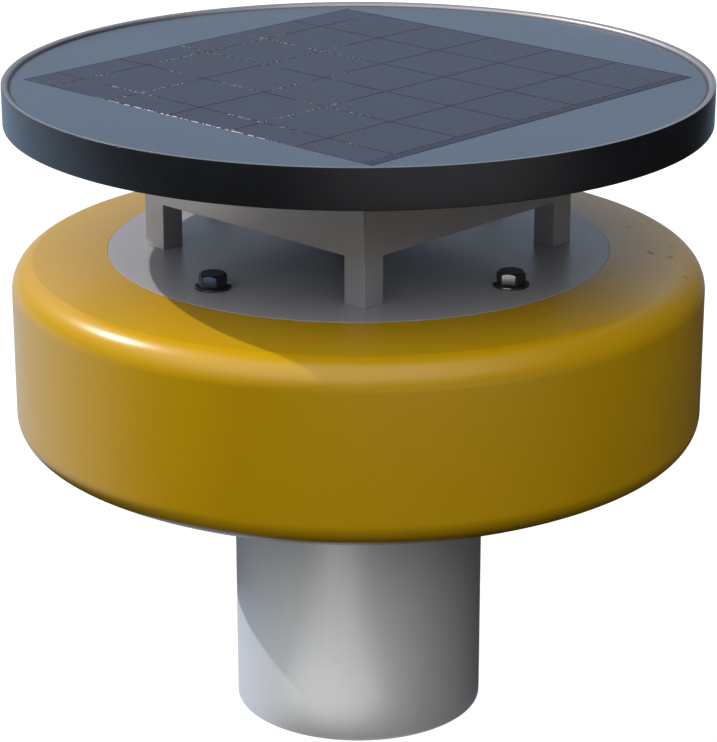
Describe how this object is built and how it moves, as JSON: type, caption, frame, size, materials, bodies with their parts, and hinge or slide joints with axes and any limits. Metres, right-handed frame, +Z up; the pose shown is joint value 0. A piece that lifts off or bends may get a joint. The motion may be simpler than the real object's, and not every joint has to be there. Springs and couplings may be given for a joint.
{
  "type": "solar marker buoy",
  "caption": "Round yellow float on a grey well tube, with a bolted deck plate and a square stand that carries a round solar panel tray; a mooring eye sits inside the tube's foot.",
  "frame": {"origin": "on the axis of the tube and float, in the plane of the tube's lower rim, which the buoy stands on", "axes": "+Z up along the tube's axis; X and Y square to the faces of the stand, with the cells' ribbons on the +X side"},
  "size_m": [0.67, 0.67, 0.6364],
  "materials": {
    "tray_coat": "satin powder coat",
    "black_plastic": "moulded",
    "module_sheet": "smooth satin",
    "seal_rubber": "satin",
    "laminate_sheet": "smooth satin",
    "cell_surface": "fine-grained satin",
    "ribbon_metal": "tinned",
    "stand_paint": "satin paint",
    "deck_paint": "satin paint",
    "bolt_black": "glossy black plating",
    "stainless": "turned",
    "float_skin": "satin moulded skin with light wear",
    "tube_metal": "satin",
    "ballast_iron": "as cast, painted",
    "battery_case": "moulded",
    "shelf_metal": "mill",
    "case_plastic": "moulded"
  },
  "bodies": {
    "root": {"panel_tray": "tray_coat", "board_support_ring": "black_plastic", "board_spacers": "black_plastic", "module_board": "module_sheet", "edge_seal": "seal_rubber", "cell_laminate": "laminate_sheet", "solar_cells": "cell_surface", "cross_ribbons": "ribbon_metal", "junction_box": "black_plastic", "junction_box_lid": "black_plastic", "cable_glands": "black_plastic", "gland_locknuts": "black_plastic", "stand_post_front_left": "stand_paint", "stand_post_front_right": "stand_paint", "stand_post_rear_left": "stand_paint", "stand_post_rear_right": "stand_paint", "stand_skirt_front": "stand_paint", "stand_skirt_rear": "stand_paint", "stand_skirt_left": "stand_paint", "stand_skirt_right": "stand_paint", "stand_flange_bars": "stand_paint", "tray_screws": "stainless", "tray_nuts": "stainless", "deck_plate": "deck_paint", "deck_gasket": "seal_rubber", "deck_bolts": "bolt_black", "bolt_sleeves": "stainless", "clamp_ring": "deck_paint", "clamp_washers": "stainless", "clamp_nuts": "stainless", "float_body": "float_skin", "well_tube": "tube_metal", "tube_flange": "tube_metal", "well_bottom": "tube_metal", "mooring_eye": "tube_metal", "ballast_weight": "ballast_iron", "tie_rods": "stainless", "rod_nuts": "stainless", "battery": "battery_case", "equipment_shelf": "shelf_metal", "control_case": "case_plastic"}
  },
  "joints": []
}
